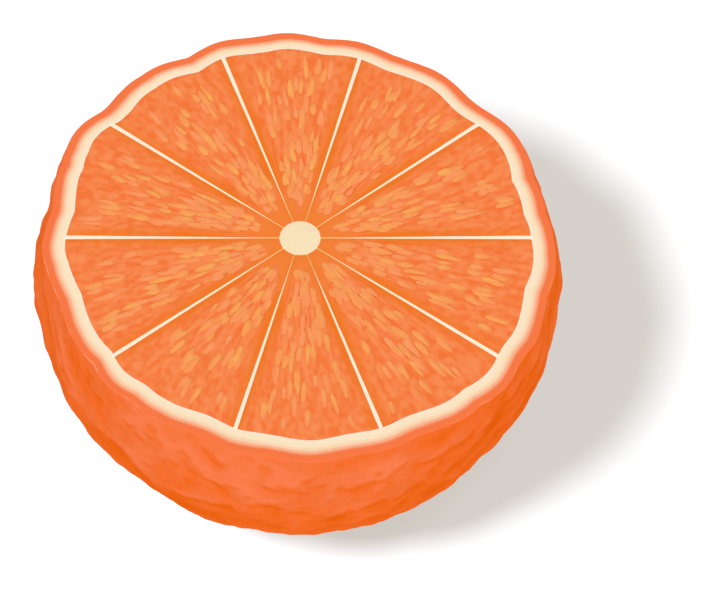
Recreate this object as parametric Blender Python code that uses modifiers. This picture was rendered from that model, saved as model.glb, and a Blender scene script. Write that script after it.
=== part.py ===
"""Orange half, cut across the fruit.

A thin shell of coloured peel holds a shell of white pith. Inside the pith, ten segments of flesh stand
round a central core, with a membrane between each two. Every layer runs through the fruit and ends in the
level cut face.

Metres, +Z up. The origin is on the resting spot, under the middle of the core, and the cut face is the top.
"""

from dataclasses import dataclass, replace
from math import asin, atan2, cos, degrees, exp, hypot, radians, sin

import bmesh
import bpy

# The whole fruit, between the furrows that run down from its rim.
HEIGHT = 0.0436  # from the resting spot to the cut face
RIM_RADIUS = 0.0389  # of the peel, at the cut face
BELLY_RADIUS = 0.0403  # of the peel, at its widest level
BELLY_DEPTH = 0.0088  # of the widest level, below the cut face
BLUNTNESS = 2.2  # exponent of the lower half's curve, where 2 would be an ellipse
RESTING_SPOT_CUT = 0.00075  # how much of the round end the flat resting spot takes away
LEAN = -0.0004  # how far the belly's middle stands from the core, along X
OFFSET = -0.00025  # how far the middle of peel and pith stands from the core, along Y
OVALNESS = 0.02  # share of its radius that the fruit gains towards 135 and 315 degrees

# The layers, as thicknesses beside the flesh and under it.
PEEL_SIDE = 0.00135
PEEL_FLOOR = 0.0022
PITH_SIDE = 0.0021
PITH_FLOOR = 0.0033

# The column in the middle, as (radius, share of the way down) from its top to its foot.
CORE_STATIONS = ((0.0031, 0.0), (0.00305, 0.25), (0.0029, 0.5), (0.0026, 0.8), (0.0022, 1.0))

# The directions of the membranes, anticlockwise from +X, and their thickness.
MEMBRANE_HEADINGS = (0.2, 37.5, 74.5, 109.6, 144.1, 179.8, 217.1, 254.2, 289.6, 324.4)
MEMBRANE_AT_CORE = 0.0002
MEMBRANE_AT_RIM = 0.00062

# The furrows in the rim: heading in degrees, depth in millimetres and half width in degrees.
FURROWS = (
    (11, 1.0, 10), (44, 1.1, 7), (66, 0.8, 9), (84, 0.7, 6), (102, 0.5, 5), (118, 0.9, 7),
    (139, 1.0, 6), (170, 0.9, 9), (198, 0.7, 12), (229, 0.3, 3), (246, 1.0, 8), (262, 0.6, 8),
    (282, 0.7, 7), (297, 1.1, 7), (327, 0.4, 4), (345, 0.8, 12),
)
FURROW_REACH = 0.0083  # depth below the cut face at which a furrow has shrunk to a third

# Where the belly swells or sinks: heading in degrees, swelling in millimetres and half width in degrees.
SWELLINGS = ((168, -0.4, 14), (230, 0.4, 30), (316, -0.9, 26))
SWELLING_DEPTH = 0.012  # depth below the cut face at which a swelling is whole

GAP = 0.0003  # between touching pieces
ABOVE_CUT = 0.004  # how far a cutter stands above the cut face
CLEAR_OF_PEEL = 0.06  # radius that is outside the fruit everywhere
ROUND_STEPS = 70
UPPER_STEPS = 3  # above the belly
LOWER_STEPS = 8  # below it
CORE_STEPS = 20
SMOOTH_BELOW = 40  # degrees between faces, under which an edge is shaded smooth


@dataclass(frozen=True)
class Layer:
    """The outer surface of one layer of the fruit, as a turned shape."""

    rim: float
    belly: float
    floor: float  # depth of its lowest point below the cut face
    offset: float = 0.0  # how far its middle stands from the core, along Y

    def inset(self, side, floor):
        """The surface this far inside it, or outside it where the distances are negative."""
        return replace(self, rim=self.rim - side, belly=self.belly - side, floor=self.floor - floor)

    def outline(self):
        """(radius, z) points from the cut face to the axis, without what would lie below the resting spot."""
        points = []
        for step in range(UPPER_STEPS):
            share = step / UPPER_STEPS
            radius = self.belly - (self.belly - self.rim) * (1 - share) ** 2
            points.append((radius, HEIGHT - BELLY_DEPTH * share))
        belly_z = HEIGHT - BELLY_DEPTH
        drop = self.floor - BELLY_DEPTH
        end = asin(min(belly_z / drop, 1) ** (BLUNTNESS / 2))
        for step in range(LOWER_STEPS + 1):
            angle = end * step / LOWER_STEPS
            radius = self.belly * max(cos(angle), 0) ** (2 / BLUNTNESS)
            points.append((radius, belly_z - drop * sin(angle) ** (2 / BLUNTNESS)))
        radius, lowest = points[-1]
        if radius < GAP:
            points.pop()
        return [*points, (0, lowest)]


SKIN = Layer(RIM_RADIUS, BELLY_RADIUS, HEIGHT + RESTING_SPOT_CUT, OFFSET)
PEEL_INNER = SKIN.inset(PEEL_SIDE - GAP / 2, PEEL_FLOOR - GAP / 2)
PITH_OUTER = PEEL_INNER.inset(GAP, GAP)
PITH_INNER = replace(PITH_OUTER.inset(PITH_SIDE - GAP, PITH_FLOOR - GAP), offset=0)
FLESH = PITH_INNER.inset(GAP, GAP)


def clear_scene():
    """Removes every object of the scene."""
    for item in list(bpy.data.objects):
        bpy.data.objects.remove(item, do_unlink=True)


def new_collection(name):
    """A new collection, linked to the scene."""
    collection = bpy.data.collections.new(name)
    bpy.context.scene.collection.children.link(collection)
    return collection


def material(name, color, roughness):
    """A plain material of this linear colour."""
    made = bpy.data.materials.new(name)
    made.use_nodes = True
    shader = made.node_tree.nodes["Principled BSDF"]
    shader.inputs["Base Color"].default_value = (*color, 1)
    shader.inputs["Roughness"].default_value = roughness
    shader.inputs["Metallic"].default_value = 0
    return made


def furrow(heading):
    """How deep the furrows are in this direction, in metres at the rim."""
    depth = 0
    for middle, deepest, half_width in FURROWS:
        away = (heading - middle + 180) % 360 - 180
        depth += deepest / 1000 * exp(-((away / half_width) ** 2))
    return depth


def swelling(heading):
    """How far the belly swells in this direction, in metres."""
    growth = 0
    for middle, most, half_width in SWELLINGS:
        away = (heading - middle + 180) % 360 - 180
        growth += most / 1000 * exp(-((away / half_width) ** 2))
    return growth


def make_uneven(mesh, offset):
    """Moves a turned mesh's points to the fruit's true outline: oval, leaning, swollen and furrowed."""
    for vertex in mesh.vertices:
        x, y, z = vertex.co
        radius = hypot(x, y)
        if radius < GAP:
            continue
        heading = atan2(y, x)
        depth = max(HEIGHT - z, 0)
        outwards = radius / BELLY_RADIUS
        uneven = radius * (1 - OVALNESS * sin(2 * heading))
        uneven += swelling(degrees(heading)) * outwards * min(depth / SWELLING_DEPTH, 1)
        uneven -= furrow(degrees(heading)) * exp(-depth / FURROW_REACH)
        lean = LEAN * min(depth / BELLY_DEPTH, 1)
        vertex.co.x = uneven * cos(heading) + lean
        vertex.co.y = uneven * sin(heading) + offset * outwards


def turned_mesh(name, outline, steps):
    """The closed mesh that a Screw makes of (radius, z) points, given from top to bottom."""
    wire = bpy.data.meshes.new(name + "_outline")
    edges = [(place, place + 1) for place in range(len(outline) - 1)]
    wire.from_pydata([(radius, 0, z) for radius, z in outline], edges, [])
    shape = bpy.data.objects.new(name, wire)
    bpy.context.scene.collection.objects.link(shape)
    screw = shape.modifiers.new("Turn", "SCREW")
    screw.steps = steps
    screw.render_steps = steps
    screw.use_merge_vertices = True
    screw.merge_threshold = 0.00001
    graph = bpy.context.evaluated_depsgraph_get()
    mesh = bpy.data.meshes.new_from_object(shape.evaluated_get(graph))
    mesh.name = name
    bpy.data.objects.remove(shape, do_unlink=True)
    bpy.data.meshes.remove(wire)
    return mesh


def layer_mesh(name, outline, offset):
    """A turned mesh with the fruit's uneven outline."""
    mesh = turned_mesh(name, outline, ROUND_STEPS)
    make_uneven(mesh, offset)
    return mesh


def raised(outline):
    """The outline with its top carried up past the cut face, for a cutter."""
    radius, z = outline[0]
    return [(0, z + ABOVE_CUT), (radius, z + ABOVE_CUT), *outline]


def capped(outline):
    """The outline closed by a flat top."""
    return [(0, outline[0][1]), *outline]


def add_piece(name, mesh, finish):
    """A visible piece of the fruit with its own copy of a mesh."""
    piece = bpy.data.objects.new(name, mesh.copy())
    piece.data.name = name
    piece.data.materials.clear()
    piece.data.materials.append(finish)
    piece.data.shade_smooth()
    piece.data.set_sharp_from_angle(angle=radians(SMOOTH_BELOW))
    FRUIT.objects.link(piece)
    return piece


def add_cutter(name, mesh, heading=0.0):
    """A hidden tool shape, turned to this heading in degrees."""
    cutter = bpy.data.objects.new(name, mesh)
    cutter.rotation_euler.z = radians(heading)
    cutter.hide_render = True
    cutter.display_type = "WIRE"
    CUTTERS.objects.link(cutter)
    return cutter


def cut(piece, operation, cutter):
    """Adds an exact Boolean to a piece."""
    boolean = piece.modifiers.new(operation.title(), "BOOLEAN")
    boolean.operation = operation
    boolean.solver = "EXACT"
    boolean.object = cutter


def prism_mesh(name, corners):
    """A flat outline in X and Y, extruded from under the fruit to above it."""
    mesh = bpy.data.meshes.new(name)
    shape = bmesh.new()
    floor = shape.faces.new([shape.verts.new((x, y, -ABOVE_CUT)) for x, y in corners])
    walls = bmesh.ops.extrude_face_region(shape, geom=[floor])
    top = [item for item in walls["geom"] if isinstance(item, bmesh.types.BMVert)]
    bmesh.ops.translate(shape, verts=top, vec=(0, 0, HEIGHT + 2 * ABOVE_CUT))
    bmesh.ops.recalc_face_normals(shape, faces=shape.faces)
    shape.to_mesh(mesh)
    shape.free()
    return mesh


def membrane_half(radius):
    """Half of a membrane's thickness at this distance from the axis."""
    core = CORE_STATIONS[0][0]
    share = (radius - core) / (RIM_RADIUS - core)
    return (MEMBRANE_AT_CORE + (MEMBRANE_AT_RIM - MEMBRANE_AT_CORE) * share) / 2


def membrane_prism():
    """A thin wedge along +X that thickens outwards."""
    near = CORE_STATIONS[0][0] / 2
    far = CLEAR_OF_PEEL
    corners = [
        (near, -membrane_half(near)),
        (far, -membrane_half(far)),
        (far, membrane_half(far)),
        (near, membrane_half(near)),
    ]
    return prism_mesh("membrane_cutter", corners)


def segment_prism(spread):
    """A wedge round +X between two membranes that stand this many degrees apart, clear of both."""
    half = radians(spread) / 2
    sides = []
    for radius in (CORE_STATIONS[0][0] / 2, CLEAR_OF_PEEL):
        clear = membrane_half(radius) + GAP
        along = radius * cos(half) + clear * sin(half)
        across = radius * sin(half) - clear * cos(half)
        sides.append((along, across))
    (near_x, near_y), (far_x, far_y) = sides
    corners = [(near_x, -near_y), (far_x, -far_y), (far_x, far_y), (near_x, near_y)]
    return prism_mesh("segment_cutter", corners)


def build_shell(name, outer, inner, finish):
    """A layer that is open at the cut face."""
    shell = add_piece(name, layer_mesh(name, capped(outer.outline()), outer.offset), finish)
    hollow = name + "_hollow"
    hollow_mesh = layer_mesh(hollow, raised(inner.outline()), inner.offset)
    cut(shell, "DIFFERENCE", add_cutter(hollow, hollow_mesh))


def core_outline(grown):
    """The core's side as (radius, z) points, this much wider than the core itself."""
    foot = HEIGHT - FLESH.floor + GAP / 2
    return [(radius + grown, HEIGHT - (HEIGHT - foot) * share) for radius, share in CORE_STATIONS]


def build_core():
    """The white column in the middle of the fruit."""
    side = core_outline(0)
    outline = [*capped(side), (0, side[-1][1])]
    add_piece("core", turned_mesh("core", outline, CORE_STEPS), CORE)


def build_flesh():
    """The segments and the membranes between them, all cut from one body of flesh."""
    flesh = layer_mesh("flesh", capped(FLESH.outline()), FLESH.offset)
    side = raised(core_outline(GAP))
    bore_outline = [*side, (side[-1][0], 0), (0, 0)]
    bore = add_cutter("core_bore", turned_mesh("core_bore", bore_outline, CORE_STEPS))
    blade = membrane_prism()
    following = (*MEMBRANE_HEADINGS[1:], MEMBRANE_HEADINGS[0] + 360)
    for number, (heading, after) in enumerate(zip(MEMBRANE_HEADINGS, following), start=1):
        membrane = add_piece(f"membrane_{number:02d}", flesh, MEMBRANE)
        cut(membrane, "INTERSECT", add_cutter(f"membrane_blade_{number:02d}", blade, heading))
        cut(membrane, "DIFFERENCE", bore)
        segment = add_piece(f"segment_{number:02d}", flesh, JUICY)
        wedge = segment_prism(after - heading)
        cut(segment, "INTERSECT", add_cutter(f"segment_wedge_{number:02d}", wedge, (heading + after) / 2))
        cut(segment, "DIFFERENCE", bore)


clear_scene()
FRUIT = new_collection("orange_half")
CUTTERS = new_collection("cutters")
ZEST = material("zest", (0.93, 0.184, 0.063), 0.42)
PITH = material("pith", (0.947, 0.782, 0.546), 0.7)
CORE = material("core", (0.939, 0.753, 0.485), 0.7)
MEMBRANE = material("membrane", (0.879, 0.807, 0.61), 0.55)
JUICY = material("flesh", (0.947, 0.202, 0.054), 0.3)
build_shell("peel", SKIN, PEEL_INNER, ZEST)
build_shell("pith", PITH_OUTER, PITH_INNER, PITH)
build_core()
build_flesh()
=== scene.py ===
"""The looks of a halved orange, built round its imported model.

The rind, the flesh, the membranes, the core and the cut juice cells are each modelled by a class of
their own, which also dresses them. Sizes are in metres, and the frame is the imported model's: +Z
up, with the cut face on top. A heading is a direction in radians, anticlockwise from +X, and a
radius is a distance from the core's axis.
"""

import logging
import random
from bisect import bisect_left
from collections.abc import Callable, Iterator, Sequence
from contextlib import contextmanager
from dataclasses import dataclass
from enum import Enum
from math import asin, atan2, cos, degrees, exp, hypot, radians, sin, tau

import bpy
from mathutils import Matrix, Vector, noise


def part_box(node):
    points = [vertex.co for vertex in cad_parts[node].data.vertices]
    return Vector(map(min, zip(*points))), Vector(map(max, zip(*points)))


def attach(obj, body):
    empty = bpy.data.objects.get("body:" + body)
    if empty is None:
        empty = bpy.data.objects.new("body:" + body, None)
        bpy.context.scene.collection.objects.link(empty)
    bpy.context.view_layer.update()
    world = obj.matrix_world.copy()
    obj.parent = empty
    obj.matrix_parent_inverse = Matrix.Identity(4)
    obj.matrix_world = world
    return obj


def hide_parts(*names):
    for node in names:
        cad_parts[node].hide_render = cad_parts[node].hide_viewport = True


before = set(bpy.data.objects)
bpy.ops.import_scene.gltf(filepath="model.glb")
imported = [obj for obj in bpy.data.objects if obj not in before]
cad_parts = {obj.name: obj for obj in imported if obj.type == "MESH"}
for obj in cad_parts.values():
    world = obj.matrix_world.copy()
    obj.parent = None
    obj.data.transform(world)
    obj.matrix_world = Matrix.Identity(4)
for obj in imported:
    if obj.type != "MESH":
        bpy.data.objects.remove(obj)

BODY = "root"
NODE_GAP = 0.0003
MILLIMETRE = 0.001
THIN = 0.0001
SEAM = 0.0000005
LOG = logging.getLogger("orange_half")

Triple = tuple[float, float, float]
Color = Triple
Stop = tuple[float, Color]
Wave = tuple[int, float, int]
Range = tuple[float, float]
Steps = tuple[int, int]
Profile = list[tuple[float, float]]
Piece = bpy.types.Object
Socket = bpy.types.NodeSocket
Material = bpy.types.Material

WHITE: Color = (1.0, 1.0, 1.0)


def screen(*channels: int) -> Color:
    """Turns red, green and blue from 0 to 255, as a screen shows them, into linear light."""
    shares = [channel / 255 for channel in channels]
    return tuple(s / 12.92 if s <= 0.04045 else ((s + 0.055) / 1.055) ** 2.4 for s in shares)


def clamp(value: float, low: float = 0.0, high: float = 1.0) -> float:
    """The value, kept between two limits."""
    return min(max(value, low), high)


def smooth(low: float, high: float, value: float) -> float:
    """Rises from 0 to 1 with soft ends as a value goes from low to high."""
    share = clamp((value - low) / (high - low))
    return share * share * (3 - 2 * share)


def between(low: float, high: float, share: float) -> float:
    """The value this share of the way from low to high."""
    return low + (high - low) * share


def toward(heading: float, radius: float = 1.0, z: float = 0.0) -> Vector:
    """The point at a heading, a radius and a height."""
    return Vector((radius * cos(heading), radius * sin(heading), z))


def polar(point: Vector) -> tuple[float, float]:
    """A point's radius and heading."""
    return hypot(point.x, point.y), atan2(point.y, point.x)


def waves(places: Sequence[Wave], heading: float, power: float = 2) -> float:
    """Adds up waves round the fruit.

    Args:
        places: Each wave's heading in degrees, its height and its half width in degrees.
        heading: The heading to measure at.
        power: 2 for round waves, and less for ones that come nearer to a point.

    Returns:
        Their height there.
    """
    total = 0.0
    for middle, most, half_width in places:
        away = (degrees(heading) - middle + 180) % 360 - 180
        total += most * exp(-(abs(away / half_width) ** power))
    return total


@dataclass(frozen=True)
class Fade:
    """A number that turns softly from one value into another between two measures."""

    start: float
    end: float
    first: float = 0.0
    last: float = 1.0

    def at(self, measure: float) -> float:
        """The number at a measure."""
        return between(self.first, self.last, smooth(self.start, self.end, measure))


@dataclass(frozen=True)
class Layer:
    """The outer surface of one layer of the fruit, before furrows and lean make it uneven."""

    rim: float
    belly: float
    floor: float

    def inset(self, side: float, floor: float) -> "Layer":
        """The surface this far inside the layer, beside the flesh and under it."""
        return Layer(self.rim - side, self.belly - side, self.floor - floor)


@dataclass(frozen=True)
class Fruit:
    """The sizes of the whole half, and the rule that makes its layers uneven.

    Furrows, bulges, nicks and swellings are waves with heights in millimetres.
    """

    height: float
    core: float
    core_foot: float
    rim_radius: float = 0.0389
    belly_radius: float = 0.0403
    belly_depth: float = 0.0088
    bluntness: float = 2.2
    resting_spot_cut: float = 0.00075
    even_radius: float = 0.0003
    lean: float = -0.0004
    offset: float = -0.00025
    ovalness: float = 0.02
    peel_side: float = 0.00135
    peel_floor: float = 0.0022
    pith_side: float = 0.0021
    pith_floor: float = 0.0033
    furrow_reach: float = 0.0083
    furrows: Sequence[Wave] = (
        (11, 1.0, 10), (44, 1.1, 7), (66, 0.8, 9), (84, 0.7, 6), (102, 0.5, 5), (118, 0.9, 7),
        (139, 1.0, 6), (170, 0.9, 9), (198, 0.7, 12), (229, 0.3, 3), (246, 1.0, 8), (262, 0.6, 8),
        (282, 0.7, 7), (297, 1.1, 7), (327, 0.4, 4), (345, 0.8, 12),
    )
    edge_reach: float = 0.005
    bulges: Sequence[Wave] = (
        (13, 0.12, 4), (30, 0.3, 6), (122, 0.12, 4), (150, 0.34, 5), (184, 0.3, 5), (206, 0.12, 6),
        (222, 0.28, 4), (241, 0.1, 4), (255, 0.17, 4), (273, 0.14, 6), (297, 0.14, 7),
        (319, 0.35, 5), (333, 0.18, 7), (351, 0.3, 5),
    )
    nick_power: float = 1.2
    nicks: Sequence[Wave] = (
        (0, 0.15, 2), (7, 0.24, 2), (18, 0.5, 3), (67, 0.14, 3), (84, 0.12, 3), (98, 0.2, 3),
        (117, 0.5, 3), (129, 0.36, 4), (142, 0.34, 3), (154, 0.18, 2), (159, 0.38, 2),
        (172, 0.38, 3), (187, 0.12, 2), (197, 0.26, 3), (216, 0.4, 3), (235, 0.1, 2),
        (312, 0.28, 2), (345, 0.25, 3),
    )
    swelling_depth: float = 0.012
    swellings: Sequence[Wave] = (
        (164, -1.3, 7), (175, 0.35, 4), (204, 0.2, 7), (210, 0.3, 3), (226, -0.2, 4),
        (230, 0.4, 30), (244, 0.4, 6), (267, 0.15, 5), (281, -0.4, 7), (291, 0.1, 3),
        (301, 0.2, 3), (318, -0.45, 3), (314, -1.2, 24), (352, -0.2, 8), (355, 0.4, 3),
    )

    @property
    def skin(self) -> Layer:
        """The outside of the peel."""
        return Layer(self.rim_radius, self.belly_radius, self.height + self.resting_spot_cut)

    @property
    def peel_inner(self) -> Layer:
        """Where the peel meets the pith."""
        return self.skin.inset(self.peel_side, self.peel_floor)

    @property
    def flesh(self) -> Layer:
        """Where the pith meets the flesh."""
        return self.peel_inner.inset(self.pith_side, self.pith_floor)

    def reach(self, radius: float, heading: float, depth: float = 0.0) -> float:
        """The true radius of a point of the even fruit.

        Args:
            radius: The even fruit's radius.
            heading: The point's heading.
            depth: Its depth below the cut face.

        Returns:
            The uneven radius.
        """
        edge = waves(self.bulges, heading) - waves(self.nicks, heading, self.nick_power)
        swollen = radius / self.belly_radius * min(depth / self.swelling_depth, 1.0)
        uneven = waves(self.swellings, heading) * swollen + edge * exp(-depth / self.edge_reach)
        uneven -= waves(self.furrows, heading) * exp(-depth / self.furrow_reach)
        return radius * (1 - self.ovalness * sin(2 * heading)) + MILLIMETRE * uneven

    def spot(self, radius: float, z: float, heading: float, offset: float = 0.0) -> Vector:
        """Places a point of the even fruit on the uneven one.

        Args:
            radius: The even fruit's radius there.
            z: The point's height.
            heading: Its heading.
            offset: How far the middle of the point's layer stands from the core, along Y.

        Returns:
            The point.
        """
        depth = max(self.height - z, 0.0)
        lean = self.lean * min(depth / self.belly_depth, 1.0)
        if radius > self.even_radius:
            spot = toward(heading, self.reach(radius, heading, depth), z)
        else:
            spot = toward(heading, radius, z)
        return spot + Vector((lean, offset * radius / self.belly_radius, 0))

    def outline(self, layer: Layer, upper: int, lower: int, last: float | None = None) -> Profile:
        """The layer's side as (radius, height) points, from the cut face to the axis.

        Args:
            layer: The layer to follow.
            upper: Steps above the belly.
            lower: Steps below it.
            last: The radius to end at, where that isn't the layer's own.

        Returns:
            The points, which end on the axis or in the resting spot's plane.
        """
        points = []
        for step in range(upper):
            share = step / upper
            radius = layer.belly - (layer.belly - layer.rim) * (1 - share) ** 2
            points.append((radius, self.height - self.belly_depth * share))
        belly_z = self.height - self.belly_depth
        drop = layer.floor - self.belly_depth
        end = asin(min(belly_z / drop, 1.0) ** (self.bluntness / 2))
        for step in range(lower + 1):
            angle = end * step / lower
            radius = layer.belly * max(cos(angle), 0.0) ** (2 / self.bluntness)
            points.append((radius, belly_z - drop * sin(angle) ** (2 / self.bluntness)))
        if last is not None:
            points[-1] = (last, points[-1][1])
        return points


def along(points: Profile, share: float) -> tuple[float, float]:
    """The point that lies this share of the way along a run of points.

    Args:
        points: The run.
        share: How far along, from 0 to 1.

    Returns:
        The point, by straight lines between its neighbours.
    """
    lengths = [hypot(b[0] - a[0], b[1] - a[1]) for a, b in zip(points, points[1:])]
    left = share * sum(lengths)
    for start, end, length in zip(points, points[1:], lengths):
        if left <= length:
            part = left / length
            return between(start[0], end[0], part), between(start[1], end[1], part)
        left -= length
    return points[-1]


def pick(piece: Piece) -> None:
    """Leaves only this piece selected, and makes it the active one.

    Args:
        piece: The piece.
    """
    bpy.ops.object.select_all(action="DESELECT")
    piece.select_set(True)
    bpy.context.view_layer.objects.active = piece


@contextmanager
def editing(piece: Piece) -> Iterator[None]:
    """Opens one piece in edit mode with all of it selected, and closes it again.

    Args:
        piece: The piece.

    Yields:
        Nothing.
    """
    pick(piece)
    bpy.ops.object.mode_set(mode="EDIT")
    bpy.ops.mesh.select_all(action="SELECT")
    yield
    bpy.ops.object.mode_set(mode="OBJECT")


def newest(name: str) -> Piece:
    """Names the piece that was added last, and moves its place into its mesh.

    Args:
        name: The piece's name.

    Returns:
        The piece.
    """
    piece = bpy.context.object
    pick(piece)
    bpy.ops.object.transform_apply(location=True, rotation=True, scale=True)
    piece.name = name
    piece.data.name = name
    return piece


def spun(name: str, profile: Profile, steps: int) -> Piece:
    """Draws a profile point by point and spins it into a closed body.

    Args:
        name: The new piece's name.
        profile: (radius, height) points that start and end on the axis.
        steps: Faces round the body.

    Returns:
        The piece.
    """
    radius, z = profile[0]
    bpy.ops.mesh.primitive_plane_add(size=MILLIMETRE, location=(radius, 0, z))
    piece = newest(name)
    with editing(piece):
        bpy.ops.mesh.merge(type="CENTER")
        for next_radius, next_z in profile[1:]:
            move = (next_radius - radius, 0, next_z - z)
            bpy.ops.mesh.extrude_region_move(TRANSFORM_OT_translate={"value": move})
            radius, z = next_radius, next_z
        bpy.ops.mesh.select_all(action="SELECT")
        bpy.ops.mesh.spin(steps=steps, angle=tau, center=(0, 0, 0), axis=(0, 0, 1))
        bpy.ops.mesh.select_all(action="SELECT")
        bpy.ops.mesh.remove_doubles(threshold=SEAM)
        bpy.ops.mesh.normals_make_consistent(inside=False)
    return piece


def note(piece: Piece, **numbers: Sequence[float]) -> None:
    """Stores one number for each point of a piece, under each name, for its material to read.

    Args:
        piece: The piece.
        **numbers: The numbers.
    """
    for name, values in numbers.items():
        stored = piece.data.attributes.new(name, "FLOAT", "POINT")
        stored.data.foreach_set("value", values)


class Sheet:
    """A material's nodes, with short ways to add and join them."""

    def __init__(self, name: str) -> None:
        """Starts a material with a Principled shader.

        Args:
            name: The material's name.
        """
        self.material = bpy.data.materials.new(name)
        self.material.use_nodes = True
        self.tree = self.material.node_tree
        self.shader = self.tree.nodes["Principled BSDF"]

    def feed(self, node: bpy.types.Node, values: dict[int | str, object]) -> None:
        """Gives a node what it needs.

        Args:
            node: The node.
            values: A number, a colour or another node's output for each input, by name or place.
        """
        for key, value in values.items():
            if isinstance(value, Socket):
                self.tree.links.new(value, node.inputs[key])
            elif node.inputs[key].type == "RGBA":
                node.inputs[key].default_value = (*value, 1)
            else:
                node.inputs[key].default_value = value

    def add(self, kind: str, values: dict[int | str, object], **settings: str) -> bpy.types.Node:
        """Adds a node.

        Args:
            kind: The node's type, without its ShaderNode prefix.
            values: What its inputs get, by name or place.
            **settings: Properties to set on it.

        Returns:
            The node.
        """
        node = self.tree.nodes.new("ShaderNode" + kind)
        for key, value in settings.items():
            setattr(node, key, value)
        self.feed(node, values)
        return node

    def stored(self, name: str) -> Socket:
        """The number that a piece's points hold under this name."""
        return self.add("Attribute", {}, attribute_name=name).outputs["Fac"]

    def place(self, stretch: Triple = (1, 1, 1)) -> Socket:
        """The piece's own coordinates, stretched along each axis."""
        own = self.add("TexCoord", {}).outputs["Object"]
        return self.add("Mapping", {"Vector": own, "Scale": stretch}).outputs["Vector"]

    def rings(self, around: float, outward: float) -> Socket:
        """Coordinates that run round the fruit and out from its core, for a grain that does too.

        Args:
            around: Repeats for each radian.
            outward: Repeats for each metre.

        Returns:
            The vector.
        """
        split = self.add("SeparateXYZ", {0: self.add("TexCoord", {}).outputs["Object"]})
        x, y = split.outputs["X"], split.outputs["Y"]
        flat = self.add("CombineXYZ", {"X": x, "Y": y}).outputs[0]
        far = self.add("VectorMath", {0: flat}, operation="LENGTH").outputs["Value"]
        turned = self.math("MULTIPLY", self.math("ARCTAN2", y, x), around)
        both = {"X": turned, "Y": self.math("MULTIPLY", far, outward)}
        return self.add("CombineXYZ", both).outputs[0]

    def math(self, operation: str, *values: Socket | float) -> Socket:
        """The result of a Math node's operation on numbers or sockets."""
        return self.add("Math", dict(enumerate(values)), operation=operation).outputs[0]

    def noise(self, vector: Socket, scale: float, detail: float = 2) -> Socket:
        """Soft noise around a half, of this scale and with so many finer layers."""
        values = {"Vector": vector, "Scale": scale, "Detail": detail}
        return self.add("TexNoise", values).outputs["Fac"]

    def cells(self, vector: Socket, scale: float) -> Socket:
        """The distance from the middle of each rounded cell of a pattern of this scale."""
        values = {"Vector": vector, "Scale": scale}
        return self.add("TexVoronoi", values, feature="SMOOTH_F1").outputs["Distance"]

    def ramp(self, value: Socket, stops: Sequence[Stop], change: str = "EASE") -> Socket:
        """Colours a number.

        Args:
            value: The number, from 0 to 1.
            stops: Places and their colours.
            change: How one colour turns into the next.

        Returns:
            The colour.
        """
        node = self.add("ValToRGB", {"Fac": value})
        node.color_ramp.interpolation = change
        elements = node.color_ramp.elements
        while len(elements) < len(stops):
            elements.new(1)
        for element, (position, color) in zip(elements, stops):
            element.position = position
            element.color = (*color, 1)
        return node.outputs["Color"]

    def mix(self, share: object, base: object, top: object, blend: str = "MIX") -> Socket:
        """Lays one colour over another, so that this share of the top one shows."""
        values = {0: share, 6: base, 7: top}
        return self.add("Mix", values, data_type="RGBA", blend_type=blend).outputs[2]

    def finish(
        self, color: Socket, grain: Socket, rough: Range, relief: Sequence[tuple[Socket, float]],
        gloss: float,
    ) -> Material:
        """Completes the material.

        Args:
            color: The surface's colour.
            grain: A number from 0 to 1 that is high where the surface is rougher.
            rough: The roughness where the grain is 0 and where it is 1.
            relief: Numbers from 0 to 1, and how far each raises the surface.
            gloss: The specular level.

        Returns:
            The material.
        """
        spread = self.add("MapRange", {"Value": grain, "To Min": rough[0], "To Max": rough[1]})
        values = {"Base Color": color, "Roughness": spread.outputs[0], "Specular IOR Level": gloss}
        for height, distance in relief:
            bump = self.add("Bump", {"Height": height, "Distance": distance})
            if "Normal" in values:
                self.feed(bump, {"Normal": values["Normal"]})
            values["Normal"] = bump.outputs["Normal"]
        self.feed(self.shader, values)
        return self.material


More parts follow.
